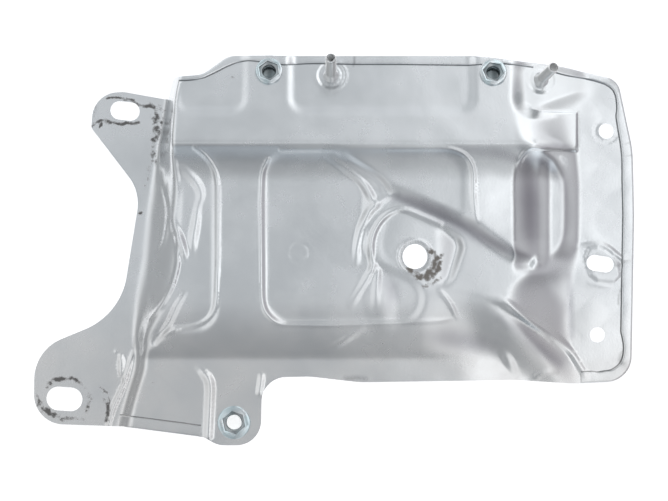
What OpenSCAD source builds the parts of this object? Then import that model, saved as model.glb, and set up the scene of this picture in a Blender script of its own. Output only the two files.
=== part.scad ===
// Exhaust heat shield: one pressed, hemmed sheet with two mounting ears, a side flange and a dished
// pan, three insert nuts and two weld studs. Millimetres, +Z up, lying face up on its ears and flange.

/* [Sheet] */
// Length of the whole sheet along X
sheet_l = 342; // [320:2:360]
// Width of the whole sheet along Y
sheet_w = 221; // [210:1:230]
// Thickness of the sheet
sheet_t = 1; // [0.8:0.1:1.5]
// Widest cell of the surface grid where the pressing is curved
cell = 5.6; // [5:0.2:8]

/* [Pressing] */
// Height of the ridge line above the ears
ridge_h = 20; // [16:0.5:24]
// Place of the ridge line along Y
ridge_y = 59.5; // [58:0.5:61]
// Lean of the top flange below the level, in degrees
flange_lean = 16; // [12:1:18]
// Run of the slope between the ridge and the pan
ridge_run = 22; // [18:0.5:25]
// Height of the pan left of the diagonal step
pan_h = 10.8; // [9:0.2:13]
// Rise of the diagonal step across the pan
step_rise = 3.2; // [2:0.2:4]
// Height of the lower flange
lower_h = 4; // [3:0.5:5]
// Depth of the centre panel
centre_depth = 2.2; // [1.5:0.1:3]
// Depth of the right panel
right_depth = 1.9; // [1:0.1:2.5]
// Depth of the left panel
left_depth = 1.8; // [1:0.1:2.5]
// Depth of the right side of the dish round the central hole
dish_depth = 2.4; // [1.5:0.1:3]
// Drop of the pan beside the side flange
side_drop = 6; // [4:0.5:7]
// Depth of the shallow panels of the top flange
shallow_depth = 1.2; // [0.6:0.1:1.5]
// Height of the small step at the top of the side flange
corner_step = 1.6; // [0.5:0.1:2]
// Height of the seat under the right stud
stud_pad_h = 4.8; // [4.5:0.1:5.5]
// Lean of that seat towards the side flange, in degrees
stud_pad_side_lean = 9; // [6:1:10]
// Lean of that seat away from the ridge, in degrees
stud_pad_lean = 10; // [8:1:12]
// Height of the start of the diagonal crease
crease_h = 10.6; // [9:0.2:12]
// Height of the wrinkles of the left wall
wrinkle_h = 1.2; // [0:0.1:1.5]
// Height of the bead beside the boss
bead_h = 0.8; // [0:0.1:1.2]

/* [Hem] */
// Width of the edge that is folded back over the face
hem_w = 5; // [3.5:0.5:6]
// Height of the fold above the face
hem_h = 1.1; // [0.8:0.1:1.6]
// Clear space between the hem and a nut's flange
hem_gap = 1; // [0.5:0.5:3]
// Radius of the flat ring round a stud, which the hem leaves clear
stud_ring_r = 8.6; // [7:0.2:10]
// Depth of that ring in the face
stud_ring_t = 0.1; // [0.1:0.05:0.3]

/* [Holes] */
// Radius of the two round flange holes
flange_hole_r = 4.25; // [3:0.25:5]
// Radius of the central hole
centre_hole_r = 7; // [5:0.25:8]
// Radius of the slot ends in the upper ear
upper_slot_r = 5.25; // [4:0.25:6]
// Distance between the end centres of the upper ear slot
upper_slot_l = 6.25; // [3:0.25:9]
// Radius of the slot ends in the lower ear
lower_slot_r = 6.75; // [5:0.25:8]
// Distance between the end centres of the lower ear slot
lower_slot_l = 7; // [4:0.25:9]
// Radius of the slot ends in the side flange
flange_slot_r = 4.5; // [3:0.25:5]
// Distance between the end centres of the flange slot
flange_slot_l = 6.5; // [3:0.25:8]

/* [Fasteners] */
// Bore radius of the top insert nuts, under the thread
nut_bore_r = 3.4; // [2.5:0.1:4]
// Radius of the flange of the top insert nuts
nut_flange_r = 7.7; // [7:0.1:8.5]
// Bore radius of the boss nut, under the thread
boss_bore_r = 4.2; // [3:0.1:5]
// Radius of the flange of the boss nut
boss_flange_r = 9.4; // [8.5:0.1:10]
// Width across the flats of the hexagonal seat in a top nut
nut_hex_af = 10.4; // [9:0.1:11]
// Width across the flats of the hexagonal seat in the boss nut
boss_hex_af = 11.6; // [11:0.1:13]
// Thickness of a nut flange
nut_flange_t = 1.6; // [1.5:0.1:2.5]
// Depth of the hexagonal seat
hex_depth = 1.1; // [0.8:0.1:1.2]
// Wall of a nut body round its thread
nut_wall = 1.7; // [1.2:0.1:2]
// Length of a top nut body behind the sheet
nut_l = 5.5; // [4:0.5:6]
// Thickness of the closed end of a top nut
nut_end_t = 1; // [0.6:0.1:1.5]
// Length of the boss nut body behind the sheet
boss_nut_l = 2.5; // [1:0.5:3]
// Radius of the stud threads
stud_r = 3; // [2.5:0.25:4]
// Length of a stud above its collar
stud_l = 23; // [14:1:26]
// Height of the collar at the foot of a stud
stud_collar_h = 3; // [1:0.5:4]
// Radius of the collar at the foot of a stud
stud_collar_r = 3.9; // [3.5:0.1:5]
// Radius of the head of a stud behind the sheet
stud_head_r = 5; // [4.5:0.25:6]
// Thickness of the head of a stud
stud_head_t = 1.2; // [0.8:0.1:1.5]
// Clearance between the fasteners and their holes in the sheet
hole_gap = 0.1; // [0.05:0.05:0.3]

/* [Hidden] */
$fn = 48;

zinc = "lightsteelblue";
bare = "silver";

// Reach of the cutters past the sheet
reach = 10;

// Stretch of the plan from the sizes at which the places below are given
drawn_l = 342;
drawn_w = 221;
stretch = [sheet_l / drawn_l, sheet_w / drawn_w];
function place(x, y) = [x * stretch.x, y * stretch.y];

// Centres of the holes and fasteners, seen from above
flange_hole_1 = place(155, 68);
flange_hole_2 = place(150, -48);
flange_slot_at = place(151.5, -7.5);
centre_hole_at = place(45.6, -3.4);
upper_slot_at = place(-119, 79.5);
lower_slot_at = place(-153.5, -84.5);
nut_left_at = place(-36.7, 101.1);
nut_right_at = place(89.9, 100.4);
boss_nut_at = place(-56.7, -97.5);
stud_left_at = place(-1.7, 99.1);
stud_right_at = place(117.4, 96.9);

// Slope functions
function ease(a, b, v) = let (u = min(max((v - a) / (b - a), 0), 1)) u * u * (3 - 2 * u);
function mix(a, b, t) = a + (b - a) * t;
function seg(p, a, b) = let (v = b - a, t = min(max(((p - a) * v) / (v * v), 0), 1)) norm(p - a - t * v);
function path(p, pts) = min([for (i = [0:len(pts) - 2]) seg(p, pts[i], pts[i + 1])]);
function ring_path(p, pts) = min([for (i = [0:len(pts) - 1]) seg(p, pts[i], pts[(i + 1) % len(pts)])]);
function crossed(p, a, b) = (a.y > p.y) != (b.y > p.y)
    && p.x < (b.x - a.x) * (p.y - a.y) / (b.y - a.y) + a.x ? 1 : 0;
function crossings(p, pts, i = 0) = i == len(pts) ? 0
    : crossed(p, pts[i], pts[(i + 1) % len(pts)]) + crossings(p, pts, i + 1);
function depth_in(p, pts) = ring_path(p, pts) * (crossings(p, pts) % 2 == 1 ? -1 : 1);

// 1 inside a panel, 0 outside, with its wall across the line between
function area(p, panel) = ease(panel[1] / 2, -panel[1] / 2, depth_in(p, panel[2]) - panel[0]);
function over(span, v) = ease(span[0], span[1], v);
function bead(p, pts, w) = let (d = path(p, pts)) d < w ? (1 + cos(180 * d / w)) / 2 : 0;

// Foot and brow of the left wall and of the side flange: place along X for each place along Y
left_foot = [[-112, -126], [-99, -122.5], [-83, -118], [-67, -113], [-48, -114], [-24, -113], [-5, -109.5],
    [21, -107], [48, -102], [69, -97.5], [98, -93], [112, -90]];
left_brow = [[-112, -120], [-99, -116], [-83, -112], [-67, -107], [-48, -105], [-37, -98], [-22, -90],
    [-7, -86.5], [34, -85], [49, -89], [63, -90.5], [86, -89.5], [98, -87], [112, -83]];
flange_foot = [[-80, 149], [-72, 145], [-60, 138], [-46, 134], [-23, 136], [0, 139.5], [40, 140],
    [57, 138.5], [80, 139], [90, 150], [112, 152]];
flange_brow = [[-80, 128], [-60, 118], [-46, 105], [-30, 96], [-20, 98], [-8, 112], [0, 122], [8, 126],
    [40, 126], [52, 120], [62, 104], [78, 100], [112, 100]];
pad_brow = [[77, 100], [90, 136], [112, 136]];

// Panels: corner radius, width of the wall, and the core outline that the radius is added to
high_ground = [0.5, 8, [[3.5, 56], [18, 45], [29, 36], [42, 31], [59, 23], [78, 15], [89, 6], [100, -2],
    [112, -6.5], [118, -7], [118, 120], [-10, 120], [-10, 70]]];
centre_panel = [12, 5, [[-28, 43.5], [-6, 43.5], [6, 32], [4, 0], [14, -16], [40, -28], [-28, -29]]];
right_panel = [14, 9, [[5, 41.5], [62, 41.5], [62, 0], [5, 0]]];
left_panel = [12, 5, [[-110, 44.5], [-79, 44.5], [-79, -32.5], [-95, -32.5], [-130, -56]]];
dish = [1.5, 5, [[31, 18], [40, 20], [60, 12], [69, 4], [60, -15], [54, -16], [30, -5], [27, 4]]];
// Curved edge of the drop beside the side flange
side_edge = [[101.5, -30], [101.5, 46], [103.5, 51], [108, 55], [114, 57.5], [126, 58]];
side_area = concat(side_edge, [[160, 45], [160, -30]]);
top_panel_1 = [8, 3.5, [[-80, 86.2], [-58, 86.2], [-58, 120], [-80, 120]]];
top_panel_2 = [8, 3.5, [[-16.5, 86.2], [70.5, 86.2], [70.5, 120], [-16.5, 120]]];
stud_pad_area = [8, 4, [[112, 86.2], [160, 86.2], [160, 120], [112, 120]]];
corner_area = [0.5, 2, [[90, 57], [137.7, 57], [137.7, 78], [90, 78]]];
// Lines of the wrinkles in the left wall, of the bead on the lower flange and of the diagonal crease
wrinkles = [[[-96, 58], [-102, 44]], [[-92, 45], [-91, 26], [-93, 17], [-85.5, 7], [-85, -4]],
    [[-80, 40], [-77, 30], [-79, 7]], [[-90, -6.5], [-93.5, -22.5], [-105, -37]]];
lower_bead = [[-77.5, -67.5], [-70.5, -77], [-72, -108]];
crease = [[60, -22], [76, -24], [89, -28], [103, -37], [117, -47], [130, -58], [143, -73], [150, -82]];

// Starts and ends of slopes along X or Y, and lengths over which they act
droop_from = -28;
pan_foot = -61;
low_ground_end = [70, 128];
low_ground_end_h = 0.3;
crease_end = [86, 146];
facet_across = [48, 84];
facet_down = [-10, -24];
facet_run = 26.7;
dish_across = [30, 75];
dish_left_share = 0.4;
side_start = [-13, -4];
side_reach = 8;
corner_across = [100, 128];
wrinkle_w = 4.5;
bead_w = 3.5;

// Height of the pan before its edges
function pan(p) = pan_h + step_rise * area(p, high_ground) - centre_depth * area(p, centre_panel)
    - left_depth * area(p, left_panel) - right_depth * area(p, right_panel) * area(p, high_ground)
    - dish_depth * area(p, dish) * mix(dish_left_share, 1, over(dish_across, p.x));

// Pan with the lower flange and the facet that falls from the diagonal crease
function lower_part(p) =
    let (low = mix(lower_h, low_ground_end_h, over(low_ground_end, p.x)),
        droop = max(droop_from - p.y, 0) / (droop_from - pan_foot),
        z = max(pan(p) - (pan_h - low) * pow(droop, 2), low),
        brow = mix(crease_h, low_ground_end_h, over(crease_end, p.x)),
        below = lookup(p.x, crease) - p.y,
        facet = below > 0 ? mix(brow, low, ease(0, facet_run, below)) : z)
    mix(z, facet, over(facet_across, p.x) * over(facet_down, p.y));

// Drop of the pan from a curved edge towards the side flange
function side_fall(p) = crossings(p, side_area) % 2 == 0 ? 0
    : side_drop * (1 - exp(-path(p, side_edge) / side_reach)) * over(side_start, p.y);

// Top flange, a plane that leans away from the ridge
function flange_plane(y) = ridge_h - (y - ridge_y * stretch.y) * tan(flange_lean);

// Seat of the right stud, a plane too
function stud_pad(q) = stud_pad_h - (q.x - stud_right_at.x) * tan(stud_pad_side_lean)
    - (q.y - stud_right_at.y) * tan(stud_pad_lean);

function fall(p, foot, brow) = ease(lookup(p.y, foot), lookup(p.y, brow), p.x);

// Height of the lower face of the sheet at a place q
function height(q) =
    let (p = [q.x / stretch.x, q.y / stretch.y],
        climb = pow(max(1 - (ridge_y - p.y) / ridge_run, 0), 2),
        z = p.y > ridge_y
            ? flange_plane(q.y) - shallow_depth * (area(p, top_panel_1) + area(p, top_panel_2))
            : mix(lower_part(p), ridge_h, climb) - side_fall(p),
        shoulder = z * fall(p, flange_foot, flange_brow)
            + corner_step * area(p, corner_area) * over(corner_across, p.x),
        with_pad = mix(shoulder, stud_pad(q) * fall(p, flange_foot, pad_brow), area(p, stud_pad_area)),
        left_wall = fall(p, left_foot, left_brow))
    max(0, with_pad * left_wall + wrinkle_h * left_wall * max([for (w = wrinkles) bead(p, w, wrinkle_w)])
        + bead_h * bead(p, lower_bead, bead_w));

// Grid lines: the marks, with each gap between two marks divided evenly
function fill(marks, step) = [for (i = [0:len(marks) - 2])
    let (gap = marks[i + 1] - marks[i], n = ceil(gap / step - 0.01))
    for (k = [0:n - 1]) marks[i] + gap * k / n];
x_lines = concat([-176, -150], fill([-128, -112], cell), fill([-112, -84], 3.6),
    fill([-84, -74.5, -69.5], 9.5), [-64.5, -52, -48.2, -42.5, -37.5, -26.2, -22.8, -14.4],
    fill([-6, 72], cell), [72, 76.7, 80.3],
    fill([86, 97, 101.5, 106, 126, 140], cell), [140, 150, 160, 176]);
y_lines = concat([-116, -106, -97, -88, -79], fill([-71, -61, -47, -43.5, -38.5, -4, 16, 38, 50], cell),
    [50, 54, 57, ridge_y, 63, 69.5, 76.2, 80.2, 90, 99, 108, 116]);

module pressing() {
    nx = len(x_lines);
    ny = len(y_lines);
    n = nx * ny;
    low = [for (y = y_lines) for (x = x_lines) let (q = place(x, y)) [q.x, q.y, height(q)]];
    up = [for (p = low) p + [0, 0, sheet_t]];
    cells = [for (j = [0:ny - 2]) for (i = [0:nx - 2]) j * nx + i];
    polyhedron(
        points = concat(low, up),
        faces = concat(
            [for (c = cells) let (a = c, b = c + 1, d = c + nx, e = c + nx + 1)
                each abs(low[a].z - low[e].z) < abs(low[b].z - low[d].z)
                    ? [[a, b, e], [a, e, d], [n + a, n + e, n + b], [n + a, n + d, n + e]]
                    : [[a, b, d], [b, e, d], [n + a, n + d, n + b], [n + b, n + d, n + e]]],
            [for (i = [0:nx - 2]) each [[i, n + i, n + i + 1], [i, n + i + 1, i + 1]]],
            [for (i = [0:nx - 2]) let (k = (ny - 1) * nx + i)
                each [[k, k + 1, n + k + 1], [k, n + k + 1, n + k]]],
            [for (j = [0:ny - 2]) let (k = j * nx) each [[k, k + nx, n + k + nx], [k, n + k + nx, n + k]]],
            [for (j = [0:ny - 2]) let (k = j * nx + nx - 1)
                each [[k, n + k, n + k + nx], [k, n + k + nx, k + nx]]]));
}

// Outline of the sheet: corners, each with its radius
corners = [[-94.3, 85.8, 1.5], [-91.2, 98.3, 3], [-74.7, 99.5, 15], [-59.9, 110.5, 12], [78.7, 110.4, 60],
    [130, 104.6, 60], [161.6, 97.2, 10], [170.1, 57.3, 60], [171, 20, 100], [169.3, -74.4, 15],
    [137.4, -75.8, 40], [100.9, -73.5, 40], [14.8, -74.8, 60], [-13.7, -71.5, 40], [-40.8, -72.1, 14],
    [-41.6, -110.5, 14], [-66, -110.5, 14], [-73.5, -106, 8], [-117.4, -100.3, 100], [-171, -98.5, 17],
    [-170.5, -56.7, 25], [-121.6, -36.5, 39], [-110.3, 33.3, 25], [-138.2, 69.8, 3], [-136.8, 89.5, 15],
    [-119.7, 90.3, 10]];

// Arc that rounds the corner b between a and c: points of the rim, each with its inward direction
function corner_arc(a, b, c, r) =
    let (u = (a - b) / norm(a - b), v = (c - b) / norm(c - b), corner = acos(u * v),
        centre = b + (u + v) / norm(u + v) * r / sin(corner / 2),
        from = b + u * r / tan(corner / 2) - centre, to = b + v * r / tan(corner / 2) - centre,
        side = sign(from.x * to.y - from.y * to.x), n = ceil((180 - corner) / 12))
    [for (k = [0:n]) let (q = side * (180 - corner) * k / n,
            arm = [from.x * cos(q) - from.y * sin(q), from.x * sin(q) + from.y * cos(q)])
        [centre + arm, arm * side / r]];
function flat(p) = place(p.x, p.y);
rim = [for (i = [0:len(corners) - 1])
    let (n = len(corners), b = corners[i])
    corner_arc(flat(corners[(i + n - 1) % n]), flat(b), flat(corners[(i + 1) % n]),
        b.z * min(stretch.x, stretch.y))];
outline = [for (arc = rim) for (point = arc) point[0]];

// Hem: the edge folded back over the face, from the top left round to the lower right corner, and a
// short run on the lower flange. Each section is a bar from the middle of the sheet to the fold's top.
hem_runs = [[1, 9], [17, 18]];
hem_inset = 0.2;
hem_bevel = 0.5;
hem_step = 9;
hem_root = 0.4 * sheet_t;
function run_of(from, to) = concat([rim[from][len(rim[from]) - 1]],
    [for (i = [from + 1:to]) if (i < to) each rim[i]], to == 9 ? rim[to] : [rim[to][0]]);
function along(pts, step) = concat([for (i = [0:len(pts) - 2])
    let (n = max(1, round(norm(pts[i + 1][0] - pts[i][0]) / step)))
    for (k = [0:n - 1]) [mix(pts[i][0], pts[i + 1][0], k / n), mix(pts[i][1], pts[i + 1][1], k / n)]],
    [pts[len(pts) - 1]]);
function section(at, n) = [for (q = [[hem_inset, hem_root], [hem_inset, sheet_t + hem_h - hem_bevel],
        [hem_inset + hem_bevel, sheet_t + hem_h], [hem_w, sheet_t + hem_h], [hem_w, hem_root]])
    let (p = at + n / norm(n) * q[0]) [p.x, p.y, height(p) + q[1]]];
module bar(rings) {
    m = len(rings[0]);
    n = len(rings);
    polyhedron(
        points = [for (ring = rings) each ring],
        faces = concat([[for (k = [0:m - 1]) k]],
            [for (i = [0:n - 2]) for (k = [0:m - 1]) let (a = i * m + k, b = i * m + (k + 1) % m)
                each [[a, a + m, b + m], [a, b + m, b]]],
            [[for (k = [0:m - 1]) n * m - 1 - k]]));
}
module hem() difference() {
    for (run = hem_runs) bar([for (s = along(run_of(run[0], run[1]), hem_step)) section(s[0], s[1])]);
    for (at = [nut_left_at, nut_right_at])
        on_flange(at) cylinder(r = nut_flange_r + hem_gap, h = reach);
}

module outline_prism() translate([0, 0, -reach]) linear_extrude(ridge_h + 2 * reach) polygon(outline);

module slot(at, r, l, turn_deg) translate([at.x, at.y, -reach]) rotate(turn_deg) {
    translate([-l / 2, 0]) cylinder(r = r, h = 2 * reach);
    translate([l / 2, 0]) cylinder(r = r, h = 2 * reach);
    translate([-l / 2, -r, 0]) cube([l, 2 * r, 2 * reach]);
}
module stud_hole() {
    cylinder(r = stud_ring_r, h = reach);
    cylinder(r = stud_r + hole_gap, h = 2 * reach, center = true);
}
module round_hole(at, r) translate([at.x, at.y, -reach]) cylinder(r = r, h = 3 * reach);

// Places a child on the upper face of the top flange, or of a panel in it, square to the face
module on_flange(at, drop = 0) translate([at.x, at.y, flange_plane(at.y) + drop + sheet_t])
    rotate([-flange_lean, 0, 0]) children();
// Places a child in the ring of the left stud, in a shallow panel
module on_left_ring() on_flange(stud_left_at, -shallow_depth - stud_ring_t) children();
// Places a child in the ring of the right stud, square to its seat
module on_right_ring() translate([stud_right_at.x, stud_right_at.y, stud_pad_h + sheet_t - stud_ring_t])
    rotate([0, atan(norm([tan(stud_pad_lean), tan(stud_pad_side_lean)])),
        atan2(tan(stud_pad_lean), tan(stud_pad_side_lean))]) children();

module shield() color(bare) difference() {
    union() {
        intersection() {
            pressing();
            outline_prism();
        }
        hem();
    }
    round_hole(flange_hole_1, flange_hole_r);
    round_hole(flange_hole_2, flange_hole_r);
    round_hole(centre_hole_at, centre_hole_r);
    slot(upper_slot_at, upper_slot_r, upper_slot_l, -6);
    slot(lower_slot_at, lower_slot_r, lower_slot_l, -4);
    slot(flange_slot_at, flange_slot_r, flange_slot_l, -9);
    for (at = [nut_left_at, nut_right_at])
        on_flange(at) cylinder(r = nut_bore_r + nut_wall + hole_gap, h = 2 * reach, center = true);
    on_left_ring() stud_hole();
    on_right_ring() stud_hole();
    round_hole(boss_nut_at, boss_bore_r + nut_wall + hole_gap);
}

// Nut with its flange on the sheet; end_t is the thickness of its closed end, 0 for an open one
module insert_nut(bore_r, flange_r, hex_af, l, end_t) difference() {
    union() {
        cylinder(r = flange_r, h = nut_flange_t);
        translate([0, 0, -sheet_t - l]) cylinder(r = bore_r + nut_wall, h = sheet_t + l + nut_flange_t / 2);
    }
    translate([0, 0, -sheet_t - l + (end_t > 0 ? end_t : -reach)]) cylinder(r = bore_r, h = 3 * reach);
    translate([0, 0, nut_flange_t - hex_depth]) cylinder(d = hex_af / cos(30), h = reach, $fn = 6);
}
module top_nut() insert_nut(nut_bore_r, nut_flange_r, nut_hex_af, nut_l, nut_end_t);
module insert_nut_left() color(zinc) on_flange(nut_left_at) top_nut();
module insert_nut_right() color(zinc) on_flange(nut_right_at) top_nut();
module boss_nut() color(zinc) translate([boss_nut_at.x, boss_nut_at.y, lower_h + sheet_t])
    insert_nut(boss_bore_r, boss_flange_r, boss_hex_af, boss_nut_l, 0);

module stud() {
    translate([0, 0, -sheet_t - stud_head_t]) cylinder(r = stud_head_r, h = stud_head_t);
    cylinder(r1 = stud_collar_r, r2 = stud_r, h = stud_collar_h);
    translate([0, 0, -sheet_t - stud_head_t / 2])
        cylinder(r = stud_r, h = sheet_t + stud_head_t / 2 + stud_collar_h + stud_l);
}
module stud_left() color(zinc) on_left_ring() stud();
module stud_right() color(zinc) on_right_ring() stud();

shield();
insert_nut_left();
insert_nut_right();
boss_nut();
stud_left();
stud_right();
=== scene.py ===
import bpy
import math
import numpy as np
from mathutils import Matrix, Vector, geometry


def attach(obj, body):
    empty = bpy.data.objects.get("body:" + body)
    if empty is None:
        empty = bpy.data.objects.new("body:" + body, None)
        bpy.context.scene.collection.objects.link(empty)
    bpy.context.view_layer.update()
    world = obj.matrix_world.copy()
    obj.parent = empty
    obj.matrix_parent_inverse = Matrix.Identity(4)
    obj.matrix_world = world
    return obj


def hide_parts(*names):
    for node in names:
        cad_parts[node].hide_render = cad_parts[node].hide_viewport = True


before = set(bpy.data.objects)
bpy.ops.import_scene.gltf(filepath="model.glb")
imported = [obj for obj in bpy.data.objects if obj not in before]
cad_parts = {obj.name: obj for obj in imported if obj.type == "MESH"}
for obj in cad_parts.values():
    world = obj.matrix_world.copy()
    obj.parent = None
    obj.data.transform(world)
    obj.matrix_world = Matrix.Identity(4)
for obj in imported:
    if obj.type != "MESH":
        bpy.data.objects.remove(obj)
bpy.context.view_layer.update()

# Camera straight above, at the distance that lets the studs lean as they do in the picture
view = {"distance": 1.0, "mmPerPixel": 0.57, "pixels": (668, 501)}
cameraData = bpy.data.cameras.new("camera")
cameraData.sensor_width = 36
cameraData.lens = 36 * view["distance"] * 1000 / (view["mmPerPixel"] * view["pixels"][0])
camera = bpy.data.objects.new("camera", cameraData)
camera.location = (0, 0, view["distance"])
bpy.context.scene.collection.objects.link(camera)
bpy.context.scene.camera = camera
bpy.context.scene.view_settings.view_transform = "Standard"
print("camera set")


# Curves and slopes in plan, in millimetres
def ease(start, end, value):
    u = np.clip((value - start) / (end - start), 0, 1)
    return u * u * (3 - 2 * u)


def mix(a, b, t):
    return a + (b - a) * t


# Pixels of the picture to millimetres on the part, at height z
def onPart(points, z=0):
    keep = 1 - z / 1000 / view["distance"]
    scale, (wide, tall) = view["mmPerPixel"], view["pixels"]
    return [((p[0] - wide / 2) * scale * keep, (tall / 2 - p[1]) * scale * keep) + tuple(p[2:]) for p in points]


# Cuts the corners of a line, by a quarter of each side but at most 2.5 mm
def rounded(points, closed=False, rounds=2):
    pts = [np.array(p, float) for p in points]
    for _ in range(rounds):
        cut = []
        count = len(pts)
        for i in range(count if closed else count - 1):
            a, b = pts[i], pts[(i + 1) % count]
            t = min(0.25, 2.5 / max(np.hypot(*(b - a)[:2]), 1e-6))
            cut += [(1 - t) * a + t * b, t * a + (1 - t) * b]
        pts = cut if closed else [pts[0]] + cut[1:-1] + [pts[-1]]
    return [tuple(p) for p in pts]


gridStep = 0.5
gridX = np.arange(-176, 176.01, gridStep)
gridY = np.arange(-116, 116.01, gridStep)
X, Y = np.meshgrid(gridX, gridY)
shakeX = np.sin(X * 0.37 + 2.2 * np.sin(Y * 0.23)) * 0.7 + np.sin(Y * 1.1 + 2.5 * np.sin(X * 0.61)) * 0.4
shakeY = np.sin(Y * 0.31 + 2.4 * np.sin(X * 0.27 + 1)) * 0.7 + np.sin(X * 0.93 + 2.4 * np.sin(Y * 0.71)) * 0.4


def window(points, margin):
    xs, ys = [p[0] for p in points], [p[1] for p in points]
    i0, i1 = np.searchsorted(gridX, [min(xs) - margin, max(xs) + margin])
    j0, j1 = np.searchsorted(gridY, [min(ys) - margin, max(ys) + margin])
    return slice(j0, max(j1, j0 + 1)), slice(i0, max(i1, i0 + 1))


def segment(x, y, a, b):
    vx, vy = b[0] - a[0], b[1] - a[1]
    t = np.clip(((x - a[0]) * vx + (y - a[1]) * vy) / max(vx * vx + vy * vy, 1e-9), 0, 1)
    return np.hypot(x - a[0] - t * vx, y - a[1] - t * vy), t


# 1 inside the core grown by the radius, 0 outside, with a wall of that width between
def region(core, radius, wall, rounds=1):
    pts = rounded(core, True, rounds) if rounds else core
    out = np.zeros_like(X)
    w = window(pts, radius + wall)
    x, y = X[w], Y[w]
    near = np.full_like(x, 999.0)
    odd = np.zeros(x.shape, bool)
    for i in range(len(pts)):
        a, b = pts[i], pts[(i + 1) % len(pts)]
        near = np.minimum(near, segment(x, y, a, b)[0])
        if a[1] != b[1]:
            odd ^= ((a[1] > y) != (b[1] > y)) & (x < (b[0] - a[0]) * (y - a[1]) / (b[1] - a[1]) + a[0])
    out[w] = ease(wall / 2, -wall / 2, np.where(odd, -near, near) - radius)
    return out


# A bump along a line of (x, y, height, half width)
def crest(points, rounds=2, shake=0):
    pts = rounded(points, False, rounds)
    out = np.zeros_like(X)
    w = window(pts, max(p[3] for p in pts))
    x, y = X[w] + shake * shakeX[w], Y[w] + shake * shakeY[w]
    best = np.zeros_like(x)
    for a, b in zip(pts, pts[1:]):
        d, t = segment(x, y, a, b)
        half = mix(a[3], b[3], t)
        bump = mix(a[2], b[2], t) * np.where(d < half, 0.5 + 0.5 * np.cos(np.pi * d / half), 0)
        best = np.where(np.abs(bump) > np.abs(best), bump, best)
    out[w] = best
    return out


def across(table, value):
    pts = sorted((y, x) for y, x in rounded(table, False, 2))
    return np.interp(value, [p[0] for p in pts], [p[1] for p in pts])


def soften(field, sigma):
    reach = int(3 * sigma / gridStep + 0.5)
    kernel = np.exp(-0.5 * (np.arange(-reach, reach + 1) * gridStep / sigma) ** 2)
    kernel /= kernel.sum()
    for axis in (0, 1):
        pad = [(reach, reach) if k == axis else (0, 0) for k in (0, 1)]
        padded = np.pad(field, pad, mode="edge")
        size = field.shape[axis]
        field = sum(kernel[k] * np.take(padded, range(k, k + size), axis=axis) for k in range(2 * reach + 1))
    return field


# The pressing: the same main forms as the solid, with the fine lines of the picture on them
pressing = {"thickness": 1.0, "ridgeHeight": 20, "ridgeY": 59.5, "lean": 16, "ridgeRun": 22, "pan": 10.8,
            "droopFrom": -28, "panFoot": -61, "step": 3.2, "lower": 4, "lowerEnd": 0.3, "brow": 10.6,
            "centre": 2.2,
            "right": 1.9, "left": 1.8, "dish": 2.4, "sideDrop": 6, "sideRun": 18, "shallow": 1.2, "corner": 1.6,
            "seat": 4.8, "seatLean": 10, "seatSideLean": 9, "softness": 1.1, "ring": 8.6}

# Centres of the holes and fasteners
places = {"flange1": (155, 68), "flange2": (150, -48), "flangeSlot": (151.5, -7.5), "middle": (45.6, -3.4),
          "upperSlot": (-119, 79.5), "lowerSlot": (-153.5, -84.5), "nutLeft": (-36.7, 101.1),
          "nutRight": (89.9, 100.4), "boss": (-56.7, -97.5), "studLeft": (-1.7, 99.1),
          "studRight": (117.4, 96.9)}

# Lines of foot and brow of the outer slopes: (y, x), and of the crease in the lower right: (x, y)
leftFoot = [(-112, -126), (-99, -122.5), (-83, -118), (-67, -113), (-48, -114), (-24, -113), (-5, -109.5),
            (21, -107), (48, -102), (69, -97.5), (98, -93), (112, -90)]
leftBrow = [(-112, -120), (-99, -116), (-83, -112), (-67, -107), (-48, -105), (-37, -98), (-22, -90),
            (-7, -86.5), (34, -85), (49, -89), (63, -90.5), (86, -89.5), (98, -87), (112, -83)]
flangeFoot = [(-80, 149), (-72, 145), (-60, 138), (-46, 134), (-23, 136), (0, 139.5), (40, 140),
              (57, 138.5), (80, 139), (90, 150), (112, 152)]
flangeBrow = [(-80, 128), (-60, 118), (-46, 105), (-30, 96), (-20, 98), (-8, 114), (0, 126), (8, 130),
              (40, 130), (52, 122), (62, 104), (78, 100), (112, 100)]
padBrow = [(77, 100), (90, 136), (112, 136)]
creaseLine = [(60, -22), (76, -24), (89, -28), (103, -37), (117, -47), (130, -58), (143, -73), (150, -82)]

# The panels, and the height of the face from them
s = pressing
high = region([(3.5, 56), (18, 45), (29, 36), (42, 31), (59, 23), (78, 15), (89, 6), (100, -2), (112, -6.5),
               (118, -7), (118, 120), (-10, 120), (-10, 70)], 0.5, 8)
centre = region([(-28, 43.5), (-6, 43.5), (6, 32), (4, 0), (14, -16), (40, -28), (-28, -29)], 12, 5)
right = region([(5, 41.5), (62, 41.5), (62, 0), (5, 0)], 14, 9, 0)
left = region([(-110, 44.5), (-79, 44.5), (-79, -32.5), (-95, -32.5), (-130, -56)], 12, 5, 0)
dish = region([(31, 18), (40, 20), (60, 12), (71, 4), (64, -17), (55, -20), (30, -5), (27, 4)], 1.5, 4)
dishLean = 0.25 + 0.75 * ease(36, 72, X)
pan = (s["pan"] + s["step"] * high - s["centre"] * centre - s["left"] * left - s["right"] * right * high
       - s["dish"] * dish * dishLean - 0.7 * ease(72, 104, X) * ease(4, 14, Y) * ease(50, 40, Y))
low = mix(s["lower"], s["lowerEnd"], ease(70, 128, X))
droop = np.maximum(s["droopFrom"] - Y, 0) / (s["droopFrom"] - s["panFoot"])
lower = np.maximum(pan - (s["pan"] - low) * droop ** 2, low)
brow = mix(s["brow"], s["lowerEnd"], ease(86, 146, X))
below = across(creaseLine, X) - Y
facet = np.where(below > 0, mix(brow, low, ease(0, 34, below)), lower)
lower = mix(lower, facet, ease(48, 84, X) * ease(-10, -24, Y))
plane = s["ridgeHeight"] - (Y - s["ridgeY"]) * math.tan(math.radians(s["lean"]))
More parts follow.
